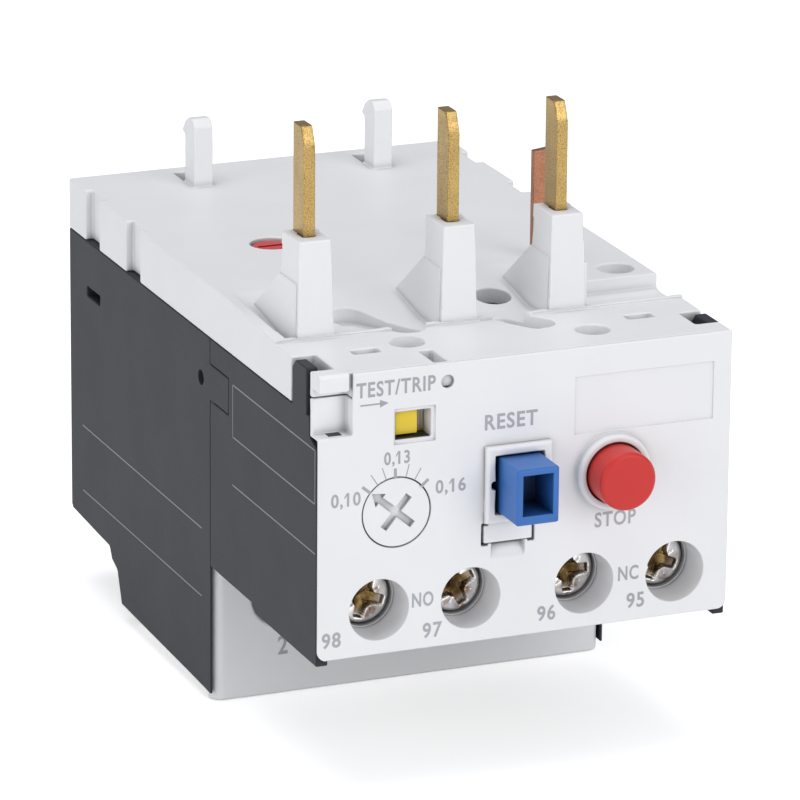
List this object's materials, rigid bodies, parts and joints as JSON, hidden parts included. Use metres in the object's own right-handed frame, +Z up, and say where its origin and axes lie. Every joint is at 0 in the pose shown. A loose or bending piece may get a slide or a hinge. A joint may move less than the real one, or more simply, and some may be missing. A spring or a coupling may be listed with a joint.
{
  "type": "thermal overload relay",
  "caption": "Thermal overload relay for a motor contactor, with line pins on top, setting dial, reset and stop buttons, trip flag and screw terminals.",
  "frame": {"origin": "centre of the bounding box's bottom face, on the lower face of the terminal cover", "axes": "+X to the right seen from the front panel, +Y from the front panel to the rear, +Z up along the line pins"},
  "size_m": [0.045, 0.0794, 0.0663],
  "materials": {
    "pale_plastic": "smooth moulded, faint grain",
    "dark_plastic": "fine grained moulding",
    "blue_plastic": "moulded, slight sheen",
    "red_plastic": "moulded, slight sheen",
    "yellow_plastic": "moulded",
    "green_plastic": "moulded",
    "cream_plastic": "moulded",
    "black_plastic": "moulded",
    "red_paint": "sealing lacquer over a slotted screw",
    "spring_steel": "drawn wire and strip",
    "bright_steel": "turned",
    "zinc_steel": "zinc plated",
    "gold_brass": "stamped and plated",
    "contact_bronze": "rolled strip with a pressed contact",
    "copper": "stamped copper",
    "bimetal": "rolled",
    "insulation": "woven glass sleeve",
    "heater_wire": "heater ribbon"
  },
  "bodies": {
    "frame": {"front_panel": "pale_plastic", "reset_bezel": "pale_plastic", "top_cover": "pale_plastic", "terminal_cover": "pale_plastic", "front_housing": "dark_plastic", "rear_housing": "dark_plastic", "calibration_screw": "red_paint", "reset_spring": "spring_steel", "stop_spring": "spring_steel", "mechanism_plate": "cream_plastic", "trip_lever_pin": "bright_steel", "reset_lever_pin": "bright_steel", "setting_arm_pin": "bright_steel", "aux_clamps": "zinc_steel", "aux_screws": "zinc_steel", "load_clamps": "zinc_steel", "load_screws": "zinc_steel", "coil_terminal_blade": "copper", "aux_terminal_98": "gold_brass", "aux_terminal_97": "gold_brass", "aux_terminal_96": "gold_brass", "aux_terminal_95": "gold_brass", "load_terminal_1": "gold_brass", "line_pin_1": "gold_brass", "load_terminal_2": "gold_brass", "line_pin_2": "gold_brass", "load_terminal_3": "gold_brass", "line_pin_3": "gold_brass"},
    "dial": {"setting_dial": "pale_plastic"},
    "arm": {"setting_arm": "green_plastic"},
    "reset": {"reset_button": "blue_plastic"},
    "reset_rocker": {"reset_lever": "black_plastic"},
    "stop": {"stop_button": "red_plastic"},
    "main": {"main_slide": "cream_plastic"},
    "differential": {"differential_slide": "cream_plastic"},
    "phase_lever": {"differential_lever": "black_plastic"},
    "trip": {"trip_lever": "black_plastic", "compensation_strip": "bimetal"},
    "flag": {"trip_flag": "yellow_plastic"},
    "carrier": {"contact_carrier": "black_plastic", "snap_spring": "spring_steel"},
    "no_blade": {"no_contact_blade": "contact_bronze"},
    "nc_blade": {"nc_contact_blade": "contact_bronze"},
    "heater_1": {"bimetal_strip_1": "bimetal", "heater_sleeve_1": "insulation", "heater_coil_1": "heater_wire"},
    "heater_2": {"bimetal_strip_2": "bimetal", "heater_sleeve_2": "insulation", "heater_coil_2": "heater_wire"},
    "heater_3": {"bimetal_strip_3": "bimetal", "heater_sleeve_3": "insulation", "heater_coil_3": "heater_wire"}
  },
  "joints": [
    {"name": "dial_turn", "type": "hinge", "parent": "frame", "child": "dial", "pos_m": [-0.01407, -0.0343, 0.0298], "axis": [0, 1, 0], "range_deg": [0, 98]},
    {"name": "setting_arm_turn", "type": "hinge", "parent": "frame", "child": "arm", "pos_m": [-0.0099, -0.0248, 0.0354], "axis": [0, 1, 0], "range_deg": [-10, 0]},
    {"name": "reset_press", "type": "slide", "parent": "frame", "child": "reset", "axis": [0, 1, 0], "range_m": [0, 0.003], "stiffness_N_per_m": 20, "deforming": ["reset_spring"]},
    {"name": "reset_lever_turn", "type": "hinge", "parent": "frame", "child": "reset_rocker", "pos_m": [-0.00105, -0.0179, 0.0252], "axis": [1, 0, 0], "range_deg": [-27.5, 0]},
    {"name": "stop_press", "type": "slide", "parent": "frame", "child": "stop", "axis": [0, 1, 0], "range_m": [0, 0.0025], "stiffness_N_per_m": 20, "deforming": ["stop_spring"]},
    {"name": "main_slide_move", "type": "slide", "parent": "frame", "child": "main", "axis": [-1, 0, 0], "range_m": [0, 0.0012], "stiffness_N_per_m": 20},
    {"name": "differential_slide_move", "type": "slide", "parent": "frame", "child": "differential", "axis": [-1, 0, 0], "range_m": [0, 0.0012]},
    {"name": "differential_lever_turn", "type": "hinge", "parent": "main", "child": "phase_lever", "pos_m": [-0.006, 0.0075, 0.0386], "axis": [0, 0, 1], "range_deg": [-1.2, 0]},
    {"name": "trip_lever_turn", "type": "hinge", "parent": "frame", "child": "trip", "pos_m": [-0.01, -0.0133, 0.0385], "axis": [0, 0, 1], "range_deg": [0, 3.5]},
    {"name": "trip_flag_move", "type": "slide", "parent": "frame", "child": "flag", "axis": [1, 0, 0], "range_m": [0, 0.001]},
    {"name": "contact_carrier_move", "type": "slide", "parent": "frame", "child": "carrier", "axis": [0, 1, 0], "range_m": [0, 0.001]},
    {"name": "no_contact_turn", "type": "hinge", "parent": "frame", "child": "no_blade", "pos_m": [-0.00591, -0.0171, 0.0285], "axis": [0, 0, 1], "range_deg": [-6.65, 0]},
    {"name": "nc_contact_turn", "type": "hinge", "parent": "frame", "child": "nc_blade", "pos_m": [0.01663, -0.0171, 0.0285], "axis": [0, 0, 1], "range_deg": [-6.65, 0]},
    {"name": "bimetal_1_bend", "type": "hinge", "parent": "frame", "child": "heater_1", "pos_m": [-0.0145, 0.0122, 0.0175], "axis": [0, 1, 0], "range_deg": [-3.55, 0]},
    {"name": "bimetal_2_bend", "type": "hinge", "parent": "frame", "child": "heater_2", "pos_m": [0, 0.0122, 0.0175], "axis": [0, 1, 0], "range_deg": [-3.55, 0]},
    {"name": "bimetal_3_bend", "type": "hinge", "parent": "frame", "child": "heater_3", "pos_m": [0.0145, 0.0122, 0.0175], "axis": [0, 1, 0], "range_deg": [-3.55, 0]}
  ],
  "couplings": [
    {"joint": "setting_arm_turn", "follows": "dial_turn", "ratio": -0.1},
    {"joint": "reset_lever_turn", "follows": "reset_press", "rad_per_m": -157},
    {"joint": "differential_slide_move", "follows": "main_slide_move", "ratio": 1},
    {"joint": "trip_lever_turn", "follows": "main_slide_move", "rad_per_m": 50.5},
    {"joint": "trip_flag_move", "follows": "main_slide_move", "ratio": 0.8333},
    {"joint": "contact_carrier_move", "follows": "main_slide_move", "ratio": 0.8333},
    {"joint": "no_contact_turn", "follows": "main_slide_move", "rad_per_m": -96},
    {"joint": "nc_contact_turn", "follows": "main_slide_move", "rad_per_m": -96},
    {"joint": "bimetal_1_bend", "follows": "main_slide_move", "rad_per_m": -50.9},
    {"joint": "bimetal_2_bend", "follows": "main_slide_move", "rad_per_m": -50.9},
    {"joint": "bimetal_3_bend", "follows": "main_slide_move", "rad_per_m": -50.9}
  ]
}
